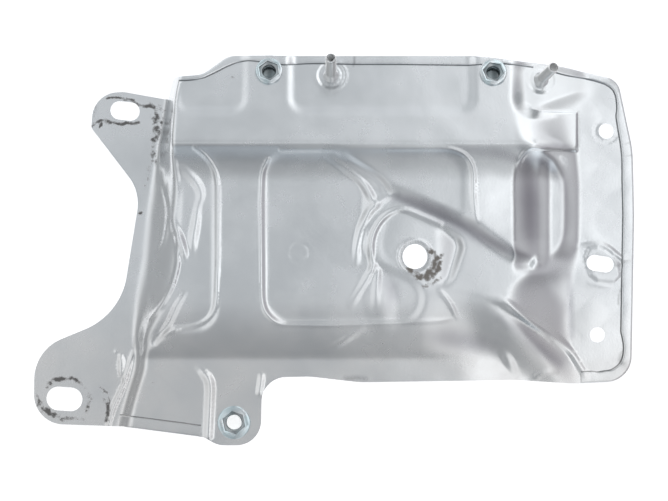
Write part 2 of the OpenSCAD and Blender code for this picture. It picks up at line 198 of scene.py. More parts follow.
top = plane - s["shallow"] * (region([(-80, 86.2), (-58, 86.2), (-58, 125), (-80, 125)], 8, 5, 0)
                              + region([(-16.5, 86.2), (70.5, 86.2), (70.5, 125), (-16.5, 125)], 8, 5, 0))
seatX, seatY = places["studRight"]
seat = (s["seat"] - (X - seatX) * math.tan(math.radians(s["seatSideLean"]))
        - (Y - seatY) * math.tan(math.radians(s["seatLean"])))
climb = np.clip(1 - (s["ridgeY"] - Y) / s["ridgeRun"], 0, 1) ** 2
ground = np.where(Y > s["ridgeY"], top, mix(lower, s["ridgeHeight"], climb))
into = region([(106.5, 41), (108, 47), (114, 51), (122, 52), (160, 40), (160, -25), (107, -25)], 5, 0.02, 0)
edge = rounded([(101.5, -30), (101.5, 8), (101.5, 44), (103.5, 51), (108, 55), (114, 57.5), (126, 58)], False,
               2)
near = np.full_like(X, 999.0)
for p, q in zip(edge, edge[1:]):
    near = np.minimum(near, segment(X, Y, p, q)[0])
inward = near * into
ground = ground - s["sideDrop"] * np.sin(math.pi / 2 * np.clip(inward / s["sideRun"], 0,
                                                               1)) * into * ease(-15, -3, Y)
foot = across(flangeFoot, Y)
shoulder = ground * ease(foot, across(flangeBrow, Y), X)
shoulder = mix(shoulder, seat * ease(foot, across(padBrow, Y), X),
               region([(112, 86.2), (160, 86.2), (160, 120), (112, 120)], 8, 9, 0))
leftWall = ease(across(leftFoot, Y), across(leftBrow, Y), X)
height = soften(shoulder * leftWall, s["softness"])

# Depth taken off the panels in the shading alone, so that their borders catch the light softly
calmed = soften((0.6 * (s["centre"] * centre + s["left"] * left) + 0.5 * s["right"] * right * high
                 + dish * (0.75 * s["dish"] * dishLean - 2 * ease(57, 73, X)))
                * (1 - climb) * np.clip(1 - droop ** 2, 0, 1) * leftWall
                + 0.6 * (plane - top) * leftWall, s["softness"])
height += s["corner"] * region([(90, 57), (137.7, 57), (137.7, 78), (90, 78)], 0.5, 1.6, 0) * ease(100, 128, X)

# Fine lines: (pixel x, pixel y, height, half width)
fineLines = [
    [(165.5, 147, 0.6, 3), (163, 158, 1.2, 4), (156, 174, 0.9, 3), (153, 190, 0.3, 2)],
    [(169, 150, 0.4, 3), (173, 165, 1.3, 4), (174.5, 185, 1.3, 4), (173, 206, 1.1, 3.6), (171.5, 221, 1.2, 3.2),
     (178, 236, 1.5, 3.6), (183.5, 250, 1.3, 3.6), (184.5, 259, 0.2, 3)],
    [(159, 181, 0.9, 1.8), (164, 195, 0.8, 1.8), (167, 207, 0.8, 1.8), (166.5, 225, 0.8, 1.8),
     (163, 244, 0.9, 2),
     (155, 256, 0.6, 2)],
    [(154, 208, 0.1, 2.2), (154, 225, 0.9, 2.6), (152.5, 245, 0.9, 2.6), (150, 270, 0.8, 2.6),
     (149, 300, 0.5, 2.4)],
    [(162, 166, -0.5, 3), (162, 180, -0.8, 3), (158, 190, -0.3, 2.5)],
    [(176, 238, 0.4, 1.8), (178.5, 262, 0.9, 2), (173, 284, 0.9, 2), (163, 304, 0.9, 2), (148, 319, 0.5, 1.8)],
    [(183, 169, 0.3, 3.4), (196, 181, 0.8, 3.6), (202, 194, 0.6, 3.2), (198, 205, 0.3, 2.6),
     (196, 222, 0.8, 3.4),
     (193, 238, 0.8, 3.6), (192, 254, 0.1, 3)],
    [(184, 294, -0.2, 2.4), (176, 307, -0.7, 2.6), (168, 325, -0.7, 2.6), (154, 343, -0.4, 2.4)],
    [(178, 329, 0.2, 2.4), (170, 331, 0.8, 2.4), (158, 337, 0.2, 2.4)],
    [(198, 369, 0.1, 3), (207, 377, 0.9, 3.5), (210, 386, 1.0, 3.5), (207.7, 437, 0.8, 3.5)],
    [(261, 372, 0, 2.5), (261, 380, 0.6, 2.5), (259, 393, 0.5, 2.5)],
    [(374, 266, 0.7, 3), (360, 290, 0.6, 3), (348, 309, 0, 3)],
    [(378, 270, 0.5, 2.5), (376, 290, 0.5, 3), (375, 311, 0, 3)],
    [(366, 326, 0, 3), (345, 340, 0.5, 3), (324, 352, 0, 3)],
    [(326, 155, 0.2, 3), (346, 169.5, 0.8, 3), (362, 182, 0.9, 3), (369.5, 193.6, 0.9, 3),
     (375.7, 206, 0.2, 3)],
    [(345.4, 158, -0.3, 3), (358, 166, -0.9, 3), (371, 173, -1.0, 3), (383, 183, -0.9, 3), (388, 192, -0.3, 3)],
    [(440, 291, 0.2, 2), (450, 303, 0.5, 2.2), (457, 318, 0.2, 2)],
    [(134, 352, 0.2, 2), (128, 369, 0.7, 2.2), (123.5, 386, 0.7, 2.2), (113, 407.6, 0.7, 2.2),
     (108.6, 425, 0.5, 2)],
    [(121, 348, -0.2, 2), (113, 365, -0.6, 2.5), (116, 376, -0.5, 2.5), (122.5, 384, -0.2, 2)],
    [(118, 352, 0.3, 2.5), (122, 362, 0.7, 3), (121, 374, 0.5, 2.5)],
    [(503, 352, 0.1, 3), (510, 362, 0.6, 4), (517, 375, 0.1, 3)],
    [(535, 380, 0.1, 2.5), (542, 374, 0.6, 3), (557, 373, 0.1, 2.5)],
    [(576, 247, 0.1, 2), (592, 244.4, 0.5, 2.2), (608, 245, 0.7, 2.2), (622, 257.4, 0.7, 2.2),
     (628.6, 260, 0.3, 2)],
    [(592, 284, 0.1, 2), (605, 286, 0.4, 2.2), (618, 288, 0.2, 2)],
    [(491, 300, 0.1, 3), (505, 301, 0.6, 3), (516.5, 309.6, 0.8, 3), (532, 321, 0.8, 3), (552, 333, 0.7, 3),
     (573, 352, 0.7, 3), (588, 376, 0.4, 3)],
    [(356, 262, 0.2, 3), (357, 245, 0.7, 3), (361, 225, 0.8, 3), (370, 210, 0.8, 3), (382, 199, 0.5, 3),
     (396, 194, 0.1, 3)],
    [(372, 270, 0.3, 2.4), (371, 255, 0.7, 2.4), (371, 240, 0.8, 2.4), (376, 226, 0.8, 2.4),
     (386, 214, 0.8, 2.4),
     (402, 208, 0.7, 2.4), (420, 215, 0.5, 2.4), (440, 224, 0.3, 2.4)],
    [(533, 268, 0, 4), (537, 262, 1.0, 4), (541, 256, 0, 4)],
    [(518, 166, 0.2, 2.2), (521, 156, 0.8, 2.4), (528, 149, 0.6, 2.4), (536, 145, 0.1, 2)],
    [(281, 151, 0.5, 2), (300, 150.5, 0.6, 2), (335, 150.5, 0.5, 2), (342, 153, 0.1, 2)],
    [(268, 160, 0.4, 2), (262, 172, 0.5, 2), (261, 200, 0.5, 2), (262, 300, 0.4, 2), (266, 314, 0.5, 2),
     (278, 324, 0.5, 2), (330, 325, 0.5, 2), (440, 321, 0.5, 2), (452, 319, 0.1, 2)],
    [(344, 150, 0.1, 2), (400, 149.5, 0.5, 2), (450, 149.5, 0.5, 2), (466, 156, 0.5, 2), (473, 170, 0.5, 2),
     (473, 200, 0.4, 2), (476, 222, 0.1, 2)],
    [(196, 149, 0.3, 2), (206, 156, 0.6, 2), (215, 169, 0.6, 2), (218, 184, 0.6, 2), (218, 260, 0.5, 2),
     (216, 306, 0.4, 2), (209, 319, 0.4, 2), (196, 326, 0.3, 2), (176, 329, 0.3, 2)],
    [(372, 272, 0.2, 8), (380, 300, 0.9, 10), (384, 325, 0.2, 8)],
]
lineLook = {"height": 0.82, "width": 1.1, "panZ": 10, "earZ": 1, "panFrom": 145}
for line in fineLines:
    line = [(x, y, lineLook["height"] * h, lineLook["width"] * half) for x, y, h, half in line]
    if line[0][0] > lineLook["panFrom"]:
        height += leftWall * crest(onPart(line, lineLook["panZ"]))
    else:
        height += crest(onPart(line, lineLook["earZ"]))

# Pressed rings: centre, radius, height
for (x, y), r, h in [(places["flange1"], 6.3, -0.25), ((-19, -1.4), 5.4, -0.07), (places["middle"], 9.5, 0.25),
                     (places["studLeft"], s["ring"], 0.1), (places["studLeft"], s["ring"] - 2, -0.12),
                     (places["studRight"], s["ring"], 0.1), (places["studRight"], s["ring"] - 2, -0.12)]:
    ring = [(x + r * math.cos(a), y + r * math.sin(a), h, 1.6) for a in np.linspace(0, 2 * math.pi, 37)]
    height += crest(ring, 0)
padOnFlange = region(onPart([(588, 252), (600, 250), (614, 260), (617, 279), (594, 277)]), 2, 3)
ripple = np.sin(X / 7.3 + 1.7 * np.sin(Y / 11.0)) * np.sin(Y / 9.1 + 1.3 * np.sin(X / 13.0 + 1))
unevenness = ripple * (0.05 + 0.10 * ease(125, 140, X)) * ease(0.2, 1.5, height + 2 * (X > 120))
height = np.maximum(height + 0.5 * padOnFlange + unevenness, 0)
print("relief done")

# Rim of the sheet: corners with their radii, as arcs
corners = [(-94.3, 85.8, 1.5), (-91.2, 98.3, 3), (-74.7, 99.5, 15), (-59.9, 110.5, 12), (78.7, 110.4, 60),
           (130, 104.6, 60), (161.6, 97.2, 10), (170.1, 57.3, 60), (171, 20, 100), (169.3, -74.4, 15),
           (137.4, -75.8, 40), (100.9, -73.5, 40), (14.8, -74.8, 60), (-13.7, -71.5, 40), (-40.8, -72.1, 14),
           (-41.6, -110.5, 14), (-66, -110.5, 14), (-73.5, -106, 8), (-117.4, -100.3, 100), (-171, -98.5, 17),
           (-170.5, -56.7, 25), (-121.6, -36.5, 39), (-110.3, 33.3, 25), (-138.2, 69.8, 3), (-136.8, 89.5, 15),
           (-119.7, 90.3, 10)]


# Points of the rim with the index of the corner each belongs to or follows
def rimPoints(spacing):
    out = []
    count = len(corners)
    for i in range(count):
        a, b, c = (Vector(corners[(i + k) % count][:2]) for k in (-1, 0, 1))
        r = corners[i][2]
        u, v = (a - b).normalized(), (c - b).normalized()
        half = u.angle(v) / 2
        middle = b + (u + v).normalized() * r / math.sin(half)
        start, end = b + u * r / math.tan(half) - middle, b + v * r / math.tan(half) - middle
        turn = start.angle_signed(end)
        n = max(2, round(abs(turn) * r / spacing))
        out += [(middle + Matrix.Rotation(-turn * k / n, 2) @ start, i) for k in range(n + 1)]
    full = []
    for k, (p, i) in enumerate(out):
        q = out[(k + 1) % len(out)][0]
        n = max(1, round((q - p).length / spacing))
        full += [(p.lerp(q, m / n), i + (m > 0) * 0.5) for m in range(n)]
    return full


def circle(at, r, n=48):
    turns = [2 * math.pi * k / n for k in range(n)]
    return [Vector((at[0] + r * math.cos(a), at[1] + r * math.sin(a))) for a in turns]


def slotLoop(at, r, length, turnDeg, n=18):
    ends = []
    for side in (1, -1):
        for k in range(n + 1):
            a = math.pi * (k / n - 0.5)
            ends.append(Vector((side * (length / 2 + r * math.cos(a)), side * r * math.sin(a))))
    straight = [ends[n].lerp(ends[n + 1], k / 6) for k in range(1, 6)]
    back = [ends[-1].lerp(ends[0], k / 6) for k in range(1, 6)]
    loop = ends[:n + 1] + straight + ends[n + 1:] + back
    return [Matrix.Rotation(math.radians(turnDeg), 2) @ p + Vector(at) for p in loop]


roundHoles = {"flange1": 4.25, "flange2": 4.25, "middle": 7}
slots = {"upperSlot": (5.25, 6.25, -6), "lowerSlot": (6.75, 7, -4), "flangeSlot": (4.5, 6.5, -9)}
seats = {"nutLeft": 5.2, "nutRight": 5.2, "boss": 6, "studLeft": 3.1, "studRight": 3.1}
rim = rimPoints(1.2)
loops = [[p for p, _ in rim]] + [circle(places[name], r) for name, r in roundHoles.items()]
loops += [slotLoop(places[name], *size) for name, size in slots.items()]
loops += [circle(places[name], r) for name, r in seats.items()]


# Reads a grid field between its points
def sample(field, x, y):
    u = np.clip((x - gridX[0]) / gridStep, 0, len(gridX) - 1.001)
    v = np.clip((y - gridY[0]) / gridStep, 0, len(gridY) - 1.001)
    i, j = u.astype(int), v.astype(int)
    fu, fv = u - i, v - j
    return ((field[j, i] * (1 - fu) + field[j, i + 1] * fu) * (1 - fv)
            + (field[j + 1, i] * (1 - fu) + field[j + 1, i + 1] * fu) * fv)


def insideLoop(x, y, loop):
    odd = np.zeros(x.shape, bool)
    for a, b in zip(loop, loop[1:] + loop[:1]):
        if a[1] != b[1]:
            odd ^= ((a[1] > y) != (b[1] > y)) & (x < (b[0] - a[0]) * (y - a[1]) / (b[1] - a[1]) + a[0])
    return odd


def rimDistance(x, y, loop):
    near = np.full(x.shape, 999.0)
    for a, b in zip(loop, loop[1:] + loop[:1]):
        near = np.minimum(near, segment(x, y, a, b)[0])
    return near


onSheet = insideLoop(X, Y, loops[0])
clear = rimDistance(X, Y, loops[0][::2])
for loop in loops[1:]:
    w = window(loop, 3)
    onSheet[w] &= ~insideLoop(X[w], Y[w], loop)
    clear[w] = np.minimum(clear[w], rimDistance(X[w], Y[w], loop))
gy, gx = np.gradient(height, gridStep)
bend = (np.abs(np.gradient(gx, gridStep, axis=1)) + np.abs(np.gradient(gy, gridStep, axis=0))
        + 2 * np.abs(np.gradient(gx, gridStep, axis=0)))
markLook = {"strength": 0.9, "width": 1.25}


# Marks of wear and painted shade: strength fields that the materials break up with noise
def mark(lines, shake=0.5):
    out = np.zeros_like(X)
    for line in lines:
        line = [(x, y, markLook["strength"] * h, markLook["width"] * half) for x, y, h, half in onPart(line)]
        out = np.maximum(out, crest(line, 1, shake))
    return out


# Scuffs round the slots and at the feet of the ears
scuff = mark([
    [(106.7, 99, 1, 1.3), (116, 97, 0.9, 1.4), (128, 99, 0.9, 1.6), (138, 104, 1, 2.2), (152.6, 108, 0.9, 1.6),
     (166, 111, 0.7, 1.4)],
    [(92.3, 127, 1, 1.3), (98, 121, 1, 2.4), (104.8, 120, 1, 2.4), (114, 123, 0.9, 1.6), (126, 124, 1, 1.6),
     (139.8, 123.6, 1, 1.9), (142, 121, 0.5, 1.2)],
    [(104.8, 121, 0.8, 1.2), (99, 128, 0.9, 1.3), (101, 135, 0.5, 1)],
    [(150, 100, 0.4, 3), (156, 112, 0.85, 4.5), (157, 130, 0.8, 4), (153, 150, 0.8, 3.6), (150, 168, 0.6, 2.4),
     (146, 188, 0.6, 2)],
    [(160, 104, 0.4, 2), (163, 116, 0.8, 2.4), (158, 140, 0.7, 2.4), (154, 166, 0.5, 2)],
    [(138.5, 211, 0.6, 1), (141, 214, 1, 1.2), (143, 212, 0.6, 1)],
    [(46.4, 387.5, 0.8, 1.6), (52, 381, 1, 2.6), (62, 378, 1, 2.6), (76, 379, 1, 2.4), (83.9, 386.5, 0.7, 1.4)],
    [(36.6, 395, 0.7, 2), (40, 404, 0.85, 3), (46.6, 411, 0.9, 3.4), (59, 418, 0.85, 3), (83, 418, 0.7, 2)],
    [(85, 388, 0.5, 2.4), (90, 400, 0.75, 3), (86, 412, 0.6, 2.4)],
    [(96, 383, 0.6, 1.1), (105, 390, 0.8, 1.1), (111, 401, 0.7, 1.1)],
    [(104, 398, 0.4, 2.6), (110, 406, 0.8, 2.6), (107, 420, 0.8, 2.4)],
    [(141, 388, 0.4, 0.9), (150, 384, 0.8, 1), (158, 381, 0.4, 0.9)],
    [(96, 106, 0.5, 1.4), (93.5, 115, 0.6, 1.6), (93, 125, 0.6, 1.6)],
    [(228, 78, 0.4, 1.2), (236, 79, 0.6, 1.4)],
    [(568, 75, 0.3, 1), (580, 83, 0.4, 1), (584, 86, 0.3, 1)],
])

# Rust round the middle hole
rust = mark([
    [(404, 264, 0.5, 2), (409, 270, 0.9, 2.6), (415, 276, 1, 3.4), (424, 279, 1, 3.8), (432, 275, 1, 3.6),
     (439, 266, 1, 3), (441, 256, 0.7, 2.4)],
    [(424, 246, 0.5, 2), (432, 252, 0.9, 3), (437, 258, 0.9, 3)],
    [(422, 285, 0.6, 2.2), (432, 284, 0.7, 2.6), (440, 277, 0.6, 2.4)],
    [(427, 272, 0.8, 3.4), (432, 267, 1, 4.2), (434, 261, 0.9, 3.6)],
])

# Thin dark coat round the holes and slots, and painted shade along the creases
filmAndShadeMark = mark([
    [(583, 262, 0.5, 1), (588, 256, 0.5, 1), (600, 255, 0.5, 1), (611, 259, 0.5, 1), (613, 268, 0.5, 1),
     (606, 273, 0.6, 1), (592, 271, 0.5, 1), (584, 267, 0.5, 1)],
    [(405, 244, 0.7, 1.2), (400, 254, 0.8, 1.4), (403, 266, 0.8, 1.6), (413, 271, 0.8, 1.6),
     (426, 266, 0.8, 1.4),
     (428, 252, 0.6, 1.2), (420, 244, 0.6, 1.2), (408, 243, 0.6, 1.2)],
    [(345, 378, 0.5, 1.6), (356, 377, 0.7, 1.8), (366, 378, 0.5, 1.6)],
    [(612, 260, 0.7, 1), (618, 268, 0.9, 1.1), (622, 262, 0.8, 1), (629, 261, 0.7, 1)],
    [(622, 285, 0.6, 0.8), (619, 293, 0.8, 0.9), (618, 304, 0.8, 0.8)],
    [(622, 352, 0.5, 1.2), (619, 360, 0.8, 1.6), (624, 366, 0.6, 1.4)],
    [(623, 143, 0.6, 0.7), (630, 143.5, 0.6, 0.7)], [(623, 155, 0.4, 0.7), (631, 155.5, 0.5, 0.7)],
    [(608, 78, 0.5, 1), (612, 82, 0.8, 1.2), (617, 92, 0.6, 1)],
    [(134, 336, 0.3, 0.8), (134, 352, 0.9, 1), (131, 364, 0.4, 0.8)],
    [(512.5, 158, 0.5, 1.1), (512, 170, 0.8, 1.1), (511.5, 200, 0.6, 1), (512.5, 240, 0.5, 1)],
    [(543, 150, 0.6, 1), (560, 150.5, 0.8, 1), (577, 150, 0.7, 1.2), (577.5, 132, 0.7, 1.4),
     (577, 113, 0.5, 1.2)],
    [(354, 66, 0.8, 0.7), (354.5, 58, 0.8, 0.7)],
], 0.2)

# Heat tint and painted shade: dark mauve in the pocket, along the diagonal step and on the slope below it
tarnishAndShade = mark([
    [(520, 150, 0.2, 4), (524, 166, 0.6, 6), (527, 200, 1, 8.5), (528, 230, 0.85, 8), (531, 248, 0.2, 5)],
    [(530, 160, 0.3, 3), (543, 163, 0.7, 3.5), (553, 172, 0.5, 3.5), (563, 190, 0.3, 4), (566, 215, 0.3, 5),
     (561, 236, 0.3, 5.5), (553, 250, 0.1, 4)],
    [(388, 199, 0.2, 3), (402, 199, 0.8, 4.5), (424, 207, 1, 5.5), (450, 220, 1, 6), (480, 237, 0.95, 5.5),
     (505, 250, 0.85, 4.5), (525, 257, 0.3, 3.5)],
    [(425, 334, 0.2, 5), (448, 338, 0.6, 8), (475, 343, 0.65, 8), (497, 349, 0.2, 6)],
    [(500, 318, 0.2, 4), (520, 331, 0.5, 5), (540, 350, 0.7, 5), (558, 363, 0.4, 4)],
    [(384, 278, 0.3, 5), (392, 292, 0.6, 6.5), (388, 306, 0.3, 5)],
    [(438, 153, 0.1, 4), (470, 153, 0.3, 4), (496, 155, 0.55, 5), (510, 160, 0.5, 4)],
    [(569, 276, 0.2, 2.5), (570, 300, 0.5, 3), (571, 335, 0.4, 3)],
], 0.2)


# Triangles of the sheet in plan: a coarse grid, with all points kept where fineWhere says so
def triangulate(spacing, fineWhere):
    step = round(spacing / gridStep)
    keep = np.zeros(X.shape, bool)
    keep[::step, ::step] = True
    keep[step // 2::step, step // 2::step] |= step > 2
    keep |= fineWhere
    keep &= onSheet & (clear > 0.45)
    pts = [Vector((float(a), float(b))) for a, b in zip(X[keep], Y[keep])]
    faces, flat = [], []
    for loop in loops:
        faces.append(list(range(len(flat), len(flat) + len(loop))))
        flat += loop
    edges = [(f[k], f[(k + 1) % len(f)]) for f in faces for k in range(len(f))]
    vertices, _, triangles, _, _, _ = geometry.delaunay_2d_cdt(flat + pts, edges, [], 0, 1e-7)
    v = np.array([tuple(p) for p in vertices])
    t = np.array(triangles)
    mid = v[t].mean(axis=1)
    good = insideLoop(mid[:, 0], mid[:, 1], loops[0])
    for loop in loops[1:]:
        good &= ~insideLoop(mid[:, 0], mid[:, 1], loop)
    t = t[good]
    area = ((v[t[:, 1], 0] - v[t[:, 0], 0]) * (v[t[:, 2], 1] - v[t[:, 0], 1])
            - (v[t[:, 2], 0] - v[t[:, 0], 0]) * (v[t[:, 1], 1] - v[t[:, 0], 1]))
    t[area < 0] = t[area < 0][:, ::-1]
    return v, t, faces


wearing = (scuff > 0.05) | (rust > 0.2)
checker = (np.arange(len(gridY))[:, None] + np.arange(len(gridX))[None, :]) % 2 == 0
upperV, upperT, rings = triangulate(2.0, checker & ((bend > 0.12) | wearing))
lowerV, lowerT, _ = triangulate(3.0, np.zeros(X.shape, bool))
count = len(upperV)
upperZ = sample(height, upperV[:, 0], upperV[:, 1])
lowerZ = sample(height, lowerV[:, 0], lowerV[:, 1])
verts = np.vstack([np.column_stack([upperV, upperZ + s["thickness"]]), np.column_stack([lowerV, lowerZ])])
faces = [tuple(map(int, f)) for f in upperT] + [tuple(int(k) + count for k in f[::-1]) for f in lowerT]
for ring in rings:
    faces += [(a, b, b + count, a + count) for a, b in zip(ring, ring[1:] + ring[:1])]
print("sheet", len(verts), "points", len(faces), "faces")

# Hem: the edge folded over the face, narrower and wider along its length. Its section starts at the
# rim with six points, and the rest lie at its inner edge. The last four get a painted shadow of the seam.
hem = {"height": 1.1, "least": 2.6, "most": 6.5,
       "section": [(0.05, -0.55), (-0.05, 0.1), (0.05, 0.6), (0.4, 0.98), (0.9, 1.12), (1.4, 1.14),
                   (-1.1, 1.16),
                   (-0.6, 1.13), (-0.25, 1.0), (0.0, 0.5), (0.5, -0.05), (0.5, -0.5)],
       "shadow": [0, 0, 0, 0, 0, 0, 0, 0, 0.2, 1, 1, 1]}
hemInner = onPart([(175.4, 80.5), (183.4, 81.8), (201.5, 80.1), (214.9, 74), (227.6, 67), (235.7, 63.7),
                   (247, 61),
                   (257, 62), (281, 66), (311, 64), (355.3, 65), (400, 65), (472, 66), (496, 64), (515, 65.6),
                   (534, 67), (566, 75.6), (590, 79), (609, 85), (616, 93.7), (617.5, 106.4), (616, 112.8),
                   (617.6, 124), (619.5, 135), (621, 144.6), (622.4, 157), (622.7, 176), (621.8, 200),
                   (621.8, 236),
                   (619.9, 246), (622.6, 259), (623, 268), (621, 280), (618.3, 288.3), (619.3, 296),
                   (619.9, 328.5),
                   (623.7, 342.6), (624.2, 351), (622, 361), (616.6, 367.5), (605.8, 371), (598, 372.4)], 3)
hemLower = onPart([(128, 413.6), (155, 414), (170, 417), (185, 423), (199, 425)], 3)


def hemStrip(first, last, inner):
    run = [p for p, i in rim if first + 0.4 < i <= last]
    rows, widths = [], []
    inner = rounded(inner, False, 1)
    for k, p in enumerate(run):
        a, b = run[max(k - 1, 0)], run[min(k + 1, len(run) - 1)]
        inward = Vector((a.y - b.y, b.x - a.x)).normalized() * -1
        near = min(float(segment(np.array(p.x), np.array(p.y), u, v)[0]) for u, v in zip(inner, inner[1:]))
        widths.append((min(max(near, hem["least"]), hem["most"]), inward))
    for p, (width, inward) in zip(run, widths):
        row = []
        for k, (u, z) in enumerate(hem["section"]):
            q = p + inward * (u if k < 6 else width + u)
            face = float(sample(height, np.array(q.x), np.array(q.y))) + s["thickness"]
            row.append((q.x, q.y, face + z * hem["height"]))
        rows.append(row)
    return rows


# The hem stops short of the fasteners
holders = [(*places[name], r) for name, r in
           [("nutLeft", 8.2), ("nutRight", 8.2), ("studLeft", 9.2), ("studRight", 9.0)]]
hemFaces = []
hemStart = len(verts)
extra = []
for first, last, inner in [(1, 9.9, hemInner), (17, 18.0, hemLower)]:
    rows = hemStrip(first, last, inner)
    groups, now = [], []
    for row in rows:
        x, y = row[5][0], row[5][1]
        if any(math.hypot(x - hx, y - hy) < hr for hx, hy, hr in holders):
            groups.append(now)
            now = []
        else:
            now.append(row)
    groups.append(now)
    for group in groups:
        if len(group) < 3:
            continue
        base = hemStart + len(extra)
        m = len(group[0])
        extra += [p for row in group for p in row]
        for i in range(len(group) - 1):
            for k in range(m):
                a, b = base + i * m + k, base + i * m + (k + 1) % m
                hemFaces.append((a, b, b + m, a + m))
        hemFaces.append(tuple(base + k for k in reversed(range(m))))
        hemFaces.append(tuple(base + (len(group) - 1) * m + k for k in range(m)))
verts = np.vstack([verts, np.array(extra)])
faces += hemFaces
hemRows = len(extra) // len(hem["section"])


def activate(piece):
    bpy.ops.object.select_all(action="DESELECT")
    piece.select_set(True)
    bpy.context.view_layer.objects.active = piece


mesh = bpy.data.meshes.new("pressedSheet")
mesh.from_pydata([tuple(float(c) / 1000 for c in p) for p in verts], [], faces)
mesh.update()
shield = bpy.data.objects.new("pressedSheet", mesh)
bpy.context.scene.collection.objects.link(shield)
activate(shield)
bpy.ops.object.mode_set(mode="EDIT")
bpy.ops.mesh.select_all(action="SELECT")
bpy.ops.mesh.normals_make_consistent(inside=False)
bpy.ops.object.mode_set(mode="OBJECT")
bpy.ops.object.shade_smooth_by_angle(angle=math.radians(38))
for name, field in [("scuff", scuff), ("rust", rust), ("filmAndShadeMark", filmAndShadeMark), ("tarnishAndShade", tarnishAndShade)]:
    values = sample(field, verts[:, 0], verts[:, 1])
    values[count:hemStart] = 0
    # The inner edge of the hem gets a painted shadow of the seam
    if name == "filmAndShadeMark":
        values[hemStart:] = np.maximum(values[hemStart:], np.tile(hem["shadow"], hemRows))
    layer = mesh.attributes.new(name, "FLOAT", "POINT")
    layer.data.foreach_set("value", values.astype(np.float32))

# Shading normals from the smooth fields, calmer round the right stud and below the pocket
calm = (1 - 0.45 * region([(115, -6), (132, -6), (132, -28), (122, -22)], 2, 10)
        - 0.72 * region([(106, 58), (139, 58), (150, 94), (142, 104), (104, 103)], 2, 12))
gy, gx = np.gradient(height + calmed, gridStep)
slopeX, slopeY = -sample(gx * calm, verts[:, 0], verts[:, 1]), -sample(gy, verts[:, 0], verts[:, 1])
facing = np.column_stack([slopeX, slopeY, np.ones(len(verts))])
facing /= np.linalg.norm(facing, axis=1, keepdims=True)
corner = np.empty(len(mesh.loops), np.int32)
mesh.loops.foreach_get("vertex_index", corner)
total = np.empty(len(mesh.polygons), np.int32)
mesh.polygons.foreach_get("loop_total", total)
owner = np.repeat(np.arange(len(total)), total)
side = np.where(owner < len(upperT), 1, np.where(owner < len(upperT) + len(lowerT), -1, 0))
mesh.normals_split_custom_set([tuple(v) for v in (facing[corner] * side[:, None])])
print("hem done", len(mesh.vertices), len(mesh.polygons))


# Fasteners, each built upright at the origin and then set on its seat
def cylinder(radius, depth, base, sides=64, top=None):
    bpy.ops.object.select_all(action="DESELECT")
    bpy.ops.mesh.primitive_cone_add(vertices=sides, radius1=radius / 1000, radius2=(top or radius) / 1000,
                                    depth=depth / 1000, location=(0, 0, (base + depth / 2) / 1000))
    return bpy.context.object


def modified(piece, kind, **settings):
    modifier = piece.modifiers.new(kind.lower(), kind)
    for key, value in settings.items():
        setattr(modifier, key, value)
    activate(piece)
    bpy.ops.object.modifier_apply(modifier=modifier.name)


def cut(piece, tool, operation="DIFFERENCE"):
    modified(piece, "BOOLEAN", object=tool, operation=operation, solver="EXACT")
    bpy.data.objects.remove(tool)


# A helical thread: a grid rolled into a tube, pushed in and out along the helix
def thread(radius, depth, length, base, pitch, outward=True):
    sides, rows = 40, int(length / pitch * 6)
    bpy.ops.object.select_all(action="DESELECT")
    bpy.ops.mesh.primitive_grid_add(x_subdivisions=sides, y_subdivisions=rows, size=2)
    piece = bpy.context.object
    co = np.empty(len(piece.data.vertices) * 3)
    piece.data.vertices.foreach_get("co", co)
    co = co.reshape(-1, 3)
    angle = (co[:, 0] + 1) * math.pi
    z = (co[:, 1] + 1) / 2 * length
    phase = (z / pitch - angle / (2 * math.pi)) % 1
    tooth = 1 - np.abs(2 * phase - 1)
    tooth = np.clip(tooth * 1.3 - 0.15, 0, 1) * np.clip(np.minimum(z, length - z) / (pitch * 0.7), 0, 1)
    r = radius - depth + depth * tooth if outward else radius + depth * (1 - tooth)
    way = 1 if outward else -1
    co = np.column_stack([r * np.cos(way * angle), r * np.sin(way * angle), base + z]) / 1000
    piece.data.vertices.foreach_set("co", co.ravel())
    bpy.ops.object.mode_set(mode="EDIT")
    bpy.ops.mesh.select_all(action="SELECT")
    bpy.ops.mesh.remove_doubles(threshold=1e-6)
    bpy.ops.mesh.select_all(action="DESELECT")
    bpy.ops.object.mode_set(mode="OBJECT")
    return piece


def join(name, pieces):
    bpy.ops.object.select_all(action="DESELECT")
    for piece in pieces:
        piece.select_set(True)
    bpy.context.view_layer.objects.active = pieces[0]
    bpy.ops.object.join()
    pieces[0].name = name
    bpy.ops.object.transform_apply(location=True, rotation=True, scale=True)
    return pieces[0]


def seatOn(piece, at, axis):
    turn = Vector((0, 0, 1)).rotation_difference(Vector(axis)).to_matrix().to_4x4()
    piece.matrix_world = Matrix.Translation(Vector(at) / 1000) @ turn
    activate(piece)
    bpy.ops.object.transform_apply(location=True, rotation=True, scale=True)
    bpy.ops.object.shade_smooth_by_angle(angle=math.radians(35))


# Writes the strength of painted shade from each point's distance to the axis and its height
def paintShade(piece, strength):
    co = np.empty(len(piece.data.vertices) * 3)
    piece.data.vertices.foreach_get("co", co)
    co = co.reshape(-1, 3) * 1000
    layer = piece.data.attributes.new("filmAndShadeMark", "FLOAT", "POINT")
    layer.data.foreach_set("value", strength(np.hypot(co[:, 0], co[:, 1]), co[:, 2]).astype(np.float32))


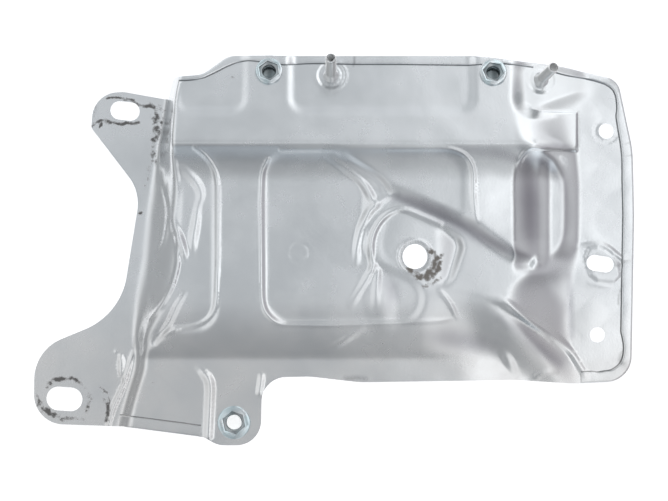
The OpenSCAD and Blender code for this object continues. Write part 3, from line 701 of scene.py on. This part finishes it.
def insertNut(name, nut):
    hexFloor = nut["flange"] - nut["hexDepth"]
    start = -1 - nut["length"]
    end = start + max(nut["floor"], 0)
    body = cylinder(nut["flangeRadius"], nut["flange"], 0)
    modified(body, "BEVEL", width=0.0005, segments=3, limit_method="ANGLE")
    cut(body, cylinder(nut["bore"] + nut["wall"], 1 + nut["length"] + nut["flange"] / 2, start), "UNION")
    cut(body, cylinder(nut["bore"] + nut["threadDepth"] + 0.05, 20, start + nut["floor"]))
    hexSeat = cylinder(nut["hex"] / 2 / math.cos(math.pi / 6), 5, hexFloor, 6)
    hexSeat.rotation_euler[2] = math.radians(nut["turn"])
    cut(body, hexSeat)
    modified(body, "BEVEL", width=0.00018, segments=2, limit_method="ANGLE", angle_limit=math.radians(40))
    inner = thread(nut["bore"], nut["threadDepth"], hexFloor - 0.1 - end, end + 0.05, nut["pitch"], False)
    piece = join(name, [body, inner])
    # Painted shade in the bore, darkest deep down, and on the floor of the hex recess
    bore = nut["bore"] + nut["threadDepth"] + 0.1
    deep, shallow, hexFloorShade = nut["filmAndShade"]
    inHex = nut["hex"] * 0.6
    paintShade(piece, lambda r, z: np.where(r < bore, np.where((z < hexFloor - 2.2) & (z > -6), deep, shallow),
                                        np.where((z < hexFloor + 0.25) & (r < inHex) & (z > 0), hexFloorShade, 0)))
    seatOn(piece, nut["at"], nut["axis"])
    return piece


def pressedStud(name, at, axis):
    head = cylinder(stud["head"], stud["headHeight"], -1 - stud["headHeight"])
    modified(head, "BEVEL", width=0.0003, segments=2, limit_method="ANGLE")
    collar = cylinder(stud["collar"], stud["collarHeight"], 0.0, 48, stud["thread"])
    shank = cylinder(stud["radius"], stud["shank"], stud["shankFrom"], 48)
    core = cylinder(stud["core"], stud["top"] - 1, 1.0, 40)
    tip = cylinder(stud["tip"], stud["chamfer"], stud["top"] - stud["chamfer"], 40, stud["end"])
    turns = thread(stud["thread"], stud["threadDepth"], stud["threadLength"], stud["threadFrom"], stud["pitch"])
    piece = join(name, [head, collar, shank, core, tip, turns])
    # Painted shade in the roots of the thread
    paintShade(piece, lambda r, z: np.where((z > 3) & (z < stud["top"] - 1),
                                        np.clip((stud["radius"] - r) / 0.5, 0, 1) * stud["filmAndShade"], 0))
    seatOn(piece, at, axis)
    return piece


lean = math.radians(pressing["lean"])
flangeAxis = (0, math.sin(lean), math.cos(lean))
topNut = {"flangeRadius": 7.7, "flange": 1.6, "bore": 3.4, "wall": 1.7, "length": 5.5, "floor": 1, "hex": 10.4,
          "hexDepth": 1.1, "threadDepth": 0.45, "pitch": 1.25, "turn": 8, "axis": flangeAxis,
          "filmAndShade": (0.7, 0.45, 0.55)}
lowNut = {**topNut, "flangeRadius": 9.4, "bore": 4.2, "length": 2.5, "floor": -5, "hex": 11.6, "turn": 12,
          "axis": (0, 0, 1)}
stud = {"head": 5, "collar": 4.4, "collarHeight": 3.6, "radius": 3, "core": 2.35, "tip": 2.8, "top": 26,
        "thread": 3.05,
        "threadDepth": 0.6, "threadLength": 23.6, "threadFrom": 2.3, "pitch": 1.5, "filmAndShade": 0.85,
        "headHeight": 1.2, "shank": 3.2, "shankFrom": -1.1, "chamfer": 0.9, "end": 2.3}

# Height of each fastener's seat, and the way that the right stud points, square to its pad
seatHeight = {"nutLeft": 9.0714, "nutRight": 9.2721, "boss": 5, "studLeft": 8.3449, "studRight": 5.7}
padAxis = (0.154115, 0.171574, 0.973042)


def seatOf(name):
    return (*places[name], seatHeight[name])


nutLeft = insertNut("insertNutLeft", {**topNut, "at": seatOf("nutLeft")})
nutRight = insertNut("insertNutRight", {**topNut, "turn": 20, "at": seatOf("nutRight")})
bossNut = insertNut("bossNut", {**lowNut, "at": seatOf("boss")})
studLeft = pressedStud("studLeft", seatOf("studLeft"), flangeAxis)
studRight = pressedStud("studRight", seatOf("studRight"), padAxis)
print("fasteners done")


# Materials
def nodeGroup(name, inputs, outputs):
    group = bpy.data.node_groups.new(name, "ShaderNodeTree")
    for way, sockets in (("INPUT", inputs), ("OUTPUT", outputs)):
        for socketName, socketType in sockets:
            group.interface.new_socket(socketName, in_out=way, socket_type=socketType)
    return group, group.nodes.new("NodeGroupInput"), group.nodes.new("NodeGroupOutput")


def add(tree, kind, inputs=(), **settings):
    node = tree.nodes.new(kind)
    for key, value in settings.items():
        setattr(node, key, value)
    for key, value in dict(inputs).items():
        if isinstance(value, bpy.types.NodeSocket):
            tree.links.new(value, node.inputs[key])
        else:
            node.inputs[key].default_value = value
    return node


def math2(tree, operation, a, b=0.0, clamp=False):
    return add(tree, "ShaderNodeMath", {0: a, 1: b}, operation=operation, use_clamp=clamp).outputs[0]


def smooth(tree, value, start, end, low=0.0, high=1.0):
    limits = {"Value": value, "From Min": start, "From Max": end, "To Min": low, "To Max": high}
    return add(tree, "ShaderNodeMapRange", limits, interpolation_type="SMOOTHSTEP").outputs[0]


def noise(tree, scale, detail, roughness=0.5):
    place = add(tree, "ShaderNodeTexCoord").outputs["Object"]
    inputs = {"Vector": place, "Scale": scale, "Detail": detail, "Roughness": roughness}
    return add(tree, "ShaderNodeTexNoise", inputs).outputs[0]


def attribute(tree, name):
    return add(tree, "ShaderNodeAttribute", attribute_name=name).outputs["Fac"]


def blendColour(tree, factor, a, b):
    return add(tree, "ShaderNodeMix", {0: factor, 6: a, 7: b}, data_type="RGBA").outputs[2]


# Breaks a strength field up into specks and streaks
brokenUp, source, sink = nodeGroup("brokenUp", [("Strength", "NodeSocketFloat"), ("Scale", "NodeSocketFloat")],
                                   [("Mask", "NodeSocketFloat")])
fine = noise(brokenUp, source.outputs["Scale"], 6.0, 0.65)
spread = math2(brokenUp, "MULTIPLY", math2(brokenUp, "SUBTRACT", fine, 0.64), 2.2)
amount = math2(brokenUp, "ADD", source.outputs["Strength"], spread)
brokenUp.links.new(smooth(brokenUp, amount, 0.1, 0.6), sink.inputs["Mask"])

# Fine grain and long soft waves of rolled sheet, as a normal
grain, source, sink = nodeGroup("grain", [("Grain", "NodeSocketFloat"), ("Waves", "NodeSocketFloat")],
                                [("Normal", "NodeSocketVector")])
waves = add(grain, "ShaderNodeBump", {"Strength": source.outputs["Waves"], "Distance": 0.001,
                                      "Height": noise(grain, 38.0, 2.0)})
specks = add(grain, "ShaderNodeBump", {"Strength": source.outputs["Grain"], "Distance": 0.0002,
                                       "Height": noise(grain, 900.0, 3.0), "Normal": waves.outputs[0]})
grain.links.new(specks.outputs[0], sink.inputs["Normal"])


def newMaterial(name):
    material = bpy.data.materials.new(name)
    material.use_nodes = True
    return material, material.node_tree, material.node_tree.nodes["Principled BSDF"]


def group(tree, which, **inputs):
    return add(tree, "ShaderNodeGroup", inputs, node_tree=which).outputs[0]


# Bare sheet: clouded metal, warmer towards the lower edge, under heat tint, painted shade, a dark coat, rust
# and scuffs
sheetLook = {"metal": (0.81, 0.83, 0.845, 1), "warm": (0.78, 0.77, 0.76, 1), "dark": (0.075, 0.070, 0.066, 1),
             "tarnishAndShade": (0.36, 0.355, 0.39, 1), "rust": (0.13, 0.105, 0.08, 1), "filmAndShade": (0.12, 0.12, 0.12, 1),
             "roughness": 0.24, "grain": 0.10, "waves": 0.16}
sheetMaterial, tree, shader = newMaterial("bareSheet")
axes = add(tree, "ShaderNodeSeparateXYZ", {0: add(tree, "ShaderNodeTexCoord").outputs["Object"]})
lowDown = smooth(tree, axes.outputs[1], -0.01, -0.07)
cloud = noise(tree, 22.0, 5.0, 0.6)
tint = math2(tree, "MULTIPLY", lowDown, smooth(tree, cloud, 0.3, 0.7, 0.5, 1.0))
scuffMask = group(tree, brokenUp, Strength=attribute(tree, "scuff"), Scale=300.0)
rustMask = group(tree, brokenUp, Strength=attribute(tree, "rust"), Scale=260.0)
colour = blendColour(tree, tint, sheetLook["metal"], sheetLook["warm"])
tarnishAndShadeMask, filmAndShadeMask = attribute(tree, "tarnishAndShade"), attribute(tree, "filmAndShadeMark")
for mask, strength, layerColour in [(tarnishAndShadeMask, 0.95, "tarnishAndShade"), (filmAndShadeMask, 0.55, "filmAndShade"),
                                    (rustMask, 0.85, "rust"),
                                    (scuffMask, 0.9, "dark")]:
    colour = blendColour(tree, math2(tree, "MULTIPLY", mask, strength), colour, sheetLook[layerColour])
tree.links.new(colour, shader.inputs["Base Color"])
dirt = math2(tree, "MAXIMUM", scuffMask, rustMask)
tree.links.new(math2(tree, "SUBTRACT", 1.0, math2(tree, "MULTIPLY", dirt, 0.9)), shader.inputs["Metallic"])
clouded = smooth(tree, cloud, 0.3, 0.7, sheetLook["roughness"] - 0.04, sheetLook["roughness"] + 0.06)
tree.links.new(math2(tree, "ADD", clouded, math2(tree, "MULTIPLY", dirt, 0.35)), shader.inputs["Roughness"])
tree.links.new(group(tree, grain, Grain=sheetLook["grain"], Waves=sheetLook["waves"]), shader.inputs["Normal"])

# The zinc's dark colour is painted shade in the bores and hex recesses of the nuts
zincLook = {"metal": (0.64, 0.74, 0.77, 1), "pale": (0.80, 0.84, 0.86, 1), "filmAndShade": (0.02, 0.028, 0.03, 1),
            "metallic": 1.0, "roughness": 0.24, "grain": 0.1, "waves": 0.03}
zincMaterial, tree, shader = newMaterial("zincPlate")
colour = blendColour(tree, smooth(tree, noise(tree, 160.0, 4.0), 0.4, 0.65), zincLook["metal"],
                     zincLook["pale"])
tree.links.new(blendColour(tree, attribute(tree, "filmAndShadeMark"), colour, zincLook["filmAndShade"]),
               shader.inputs["Base Color"])
shader.inputs["Metallic"].default_value = zincLook["metallic"]
shader.inputs["Roughness"].default_value = zincLook["roughness"]
tree.links.new(group(tree, grain, Grain=zincLook["grain"], Waves=zincLook["waves"]), shader.inputs["Normal"])

# The stud's dark colour is painted shade in the roots of its thread
studLook = {"metal": (0.93, 0.94, 0.94, 1), "filmAndShade": (0.16, 0.18, 0.17, 1), "metallic": 0.6, "roughness": 0.22,
            "grain": 0.1, "waves": 0.03}
studMaterial, tree, shader = newMaterial("palePlate")
colour = blendColour(tree, attribute(tree, "filmAndShadeMark"), studLook["metal"], studLook["filmAndShade"])
tree.links.new(colour, shader.inputs["Base Color"])
shader.inputs["Metallic"].default_value = studLook["metallic"]
shader.inputs["Roughness"].default_value = studLook["roughness"]
tree.links.new(group(tree, grain, Grain=studLook["grain"], Waves=studLook["waves"]), shader.inputs["Normal"])

for piece, node, slotName, material in [
        (shield, "shield", "bare_sheet", sheetMaterial), (nutLeft, "insert_nut_left", "zinc", zincMaterial),
        (nutRight, "insert_nut_right", "zinc", zincMaterial), (bossNut, "boss_nut", "zinc", zincMaterial),
        (studLeft, "stud_left", "zinc", studMaterial), (studRight, "stud_right", "zinc", studMaterial)]:
    piece.data.materials.clear()
    piece.data.materials.append(material)
    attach(piece, "root")
    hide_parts(node)
print("materials done")

# Floor, and a surround that the metal mirrors: bright to both sides, darker towards the lower edge
bpy.ops.object.select_all(action="DESELECT")
floorLook = {"size": 3, "drop": 0.0002, "colour": (0.93, 0.93, 0.93, 1), "roughness": 0.9, "glow": 0.55}
bpy.ops.mesh.primitive_plane_add(size=floorLook["size"], location=(0, 0, -floorLook["drop"]))
floor = bpy.context.object
floor.name = "floor"
floorMaterial, tree, shader = newMaterial("floorPaint")
shader.inputs["Base Color"].default_value = floorLook["colour"]
shader.inputs["Roughness"].default_value = floorLook["roughness"]
glow = add(tree, "ShaderNodeEmission", {"Color": (1, 1, 1, 1), "Strength": floorLook["glow"]})
both = add(tree, "ShaderNodeAddShader", {0: shader.outputs[0], 1: glow.outputs[0]})
tree.links.new(both.outputs[0], tree.nodes["Material Output"].inputs["Surface"])
floor.data.materials.append(floorMaterial)

world = bpy.data.worlds.new("surround")
bpy.context.scene.world = world
world.use_nodes = True
tree = world.node_tree
way = add(tree, "ShaderNodeSeparateXYZ", {0: add(tree, "ShaderNodeTexCoord").outputs["Generated"]})


# Colours along one direction of the surround, from -1 to 1
def ramp(tree, value, stops):
    node = add(tree, "ShaderNodeValToRGB", {0: math2(tree, "MULTIPLY", math2(tree, "ADD", value, 1.0), 0.5)})
    elements = node.color_ramp.elements
    while len(elements) < len(stops):
        elements.new(0.5)
    for element, (at, colour) in zip(elements, stops):
        element.position = (at + 1) / 2
        element.color = (*colour, 1)
    return node.outputs[0]


sideways = ramp(tree, way.outputs[0], [
    (-1, (0.19, 0.195, 0.20)), (-0.78, (0.23, 0.235, 0.24)), (-0.62, (0.38, 0.385, 0.39)),
    (-0.42, (0.46, 0.465, 0.47)), (-0.3, (0.48, 0.49, 0.50)), (-0.23, (0.48, 0.49, 0.50)),
    (-0.18, (0.26, 0.27, 0.28)), (-0.12, (0.235, 0.245, 0.255)), (0.0, (0.23, 0.24, 0.25)),
    (0.05, (0.235, 0.245, 0.255)), (0.09, (0.25, 0.26, 0.27)), (0.115, (0.40, 0.41, 0.42)),
    (0.14, (0.68, 0.69, 0.70)), (0.27, (0.68, 0.69, 0.70)), (0.36, (0.45, 0.45, 0.455)),
    (0.46, (0.31, 0.31, 0.32)), (0.6, (0.23, 0.225, 0.24)), (0.75, (0.24, 0.235, 0.245)),
    (1, (0.30, 0.30, 0.31))])
upright = ramp(tree, way.outputs[1], [
    (-1, (0.40, 0.42, 0.435)), (-0.9, (0.30, 0.315, 0.33)), (-0.8, (0.235, 0.24, 0.245)),
    (-0.7, (0.31, 0.31, 0.31)), (-0.5, (0.33, 0.33, 0.33)), (-0.3, (0.39, 0.39, 0.39)),
    (-0.1, (0.46, 0.46, 0.46)), (0.0, (0.50, 0.50, 0.50)), (0.15, (0.46, 0.46, 0.46)),
    (0.5, (0.41, 0.41, 0.41)),
    (0.66, (0.58, 0.58, 0.58)), (0.85, (0.50, 0.50, 0.50)), (1, (0.44, 0.44, 0.44))])
shade = add(tree, "ShaderNodeMix", {0: 1.0}, data_type="RGBA", blend_type="MULTIPLY")
tree.links.new(sideways, shade.inputs[6])
tree.links.new(upright, shade.inputs[7])
surround = add(tree, "ShaderNodeBackground", {"Color": shade.outputs[2], "Strength": 4.2})
white = add(tree, "ShaderNodeBackground", {"Color": (1, 1, 1, 1), "Strength": 1.0})
seen = add(tree, "ShaderNodeLightPath")
chosen = add(tree, "ShaderNodeMixShader",
             {0: seen.outputs["Is Camera Ray"], 1: surround.outputs[0], 2: white.outputs[0]})
tree.links.new(chosen.outputs[0], tree.nodes["World Output"].inputs["Surface"])
